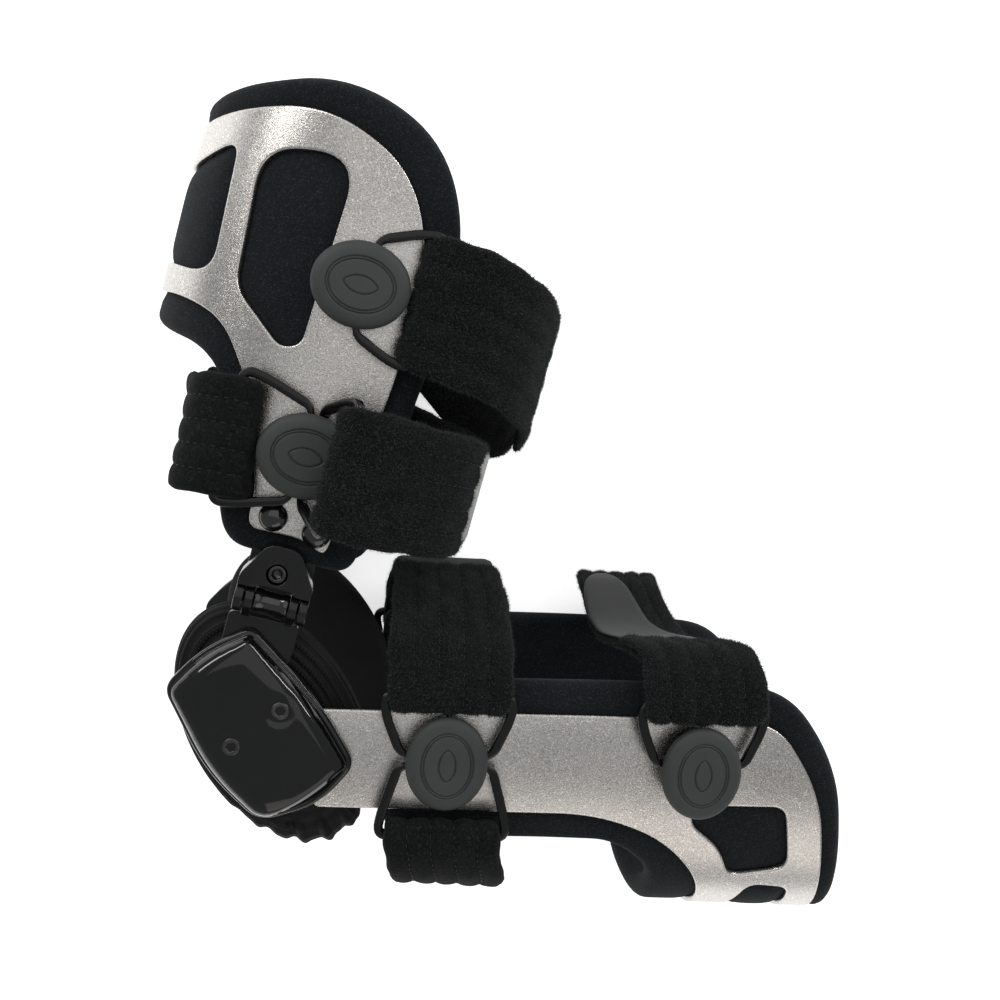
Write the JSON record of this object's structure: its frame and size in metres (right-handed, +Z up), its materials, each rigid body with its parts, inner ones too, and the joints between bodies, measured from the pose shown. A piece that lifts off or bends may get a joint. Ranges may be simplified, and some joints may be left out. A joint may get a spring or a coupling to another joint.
{
  "type": "hinged knee brace",
  "caption": "Hinged knee brace, bent and lying on its side: windowed metal cuffs with padded liners, two-pivot side hinges, and pile straps folded round clips on oval studs.",
  "frame": {"origin": "on the table under the middle of the brace as it lies, bent, on its inner side", "axes": "+X along the lower leg to the ankle, nearly; +Y up the bent thigh, nearly; +Z up, from the inner to the outer side of the leg"},
  "size_m": [0.2646, 0.324, 0.1707],
  "materials": {
    "frame": "satin bead-blasted, clear",
    "liner": "velour over foam",
    "strap": "loop pile, stitched in rows",
    "stud": "matte",
    "clip": "satin black",
    "cover": "gloss",
    "black": "semi-gloss black",
    "tab": "smooth hook tape"
  },
  "bodies": {
    "shin": {"shin_frame": "frame", "shin_liner": "liner", "calf_upper_strap": "strap", "calf_lower_strap": "strap", "calf_front_strap": "strap", "calf_upper_tab": "tab", "calf_lower_tab": "tab", "outer_shin_upper_stud": "stud", "outer_shin_lower_stud": "stud", "outer_calf_upper_clip": "clip", "outer_calf_front_clip": "clip", "outer_calf_lower_clip": "clip", "inner_shin_upper_stud": "stud", "inner_shin_lower_stud": "stud", "inner_calf_upper_clip": "clip", "inner_calf_front_clip": "clip", "inner_calf_lower_clip": "clip"},
    "housing": {"outer_hinge_cover": "cover", "outer_hinge_plate": "black", "outer_condyle_pad": "liner", "outer_back_cover_screw": "black", "outer_front_cover_screw": "black", "inner_hinge_cover": "cover", "inner_hinge_plate": "black", "inner_condyle_pad": "liner", "inner_back_cover_screw": "black", "inner_front_cover_screw": "black"},
    "thigh": {"thigh_frame": "frame", "thigh_liner": "liner", "thigh_upper_strap": "strap", "thigh_lower_strap": "strap", "thigh_front_strap": "strap", "thigh_lower_tab": "tab", "outer_thigh_upper_stud": "stud", "outer_thigh_lower_stud": "stud", "outer_thigh_upper_clip": "clip", "outer_thigh_lower_clip": "clip", "outer_thigh_front_clip": "clip", "outer_hinge_arm": "black", "outer_tilt_bracket": "black", "outer_tilt_barrel": "cover", "outer_bracket_screw": "black", "outer_front_rivet": "cover", "outer_back_rivet": "cover", "inner_thigh_upper_stud": "stud", "inner_thigh_lower_stud": "stud", "inner_thigh_upper_clip": "clip", "inner_thigh_lower_clip": "clip", "inner_thigh_front_clip": "clip", "inner_hinge_arm": "black", "inner_tilt_bracket": "black", "inner_tilt_barrel": "cover", "inner_bracket_screw": "black", "inner_front_rivet": "cover", "inner_back_rivet": "cover"}
  },
  "joints": [
    {"name": "lower_pivot", "type": "hinge", "parent": "shin", "child": "housing", "pos_m": [-0.08527, -0.07165, 0.076], "axis": [0, 0, 1], "range_deg": [-4, 51]},
    {"name": "upper_pivot", "type": "hinge", "parent": "housing", "child": "thigh", "pos_m": [-0.09938, -0.05224, 0.076], "axis": [0, 0, 1], "range_deg": [-4, 51]}
  ],
  "couplings": [
    {"joint": "upper_pivot", "follows": "lower_pivot", "ratio": 1}
  ]
}
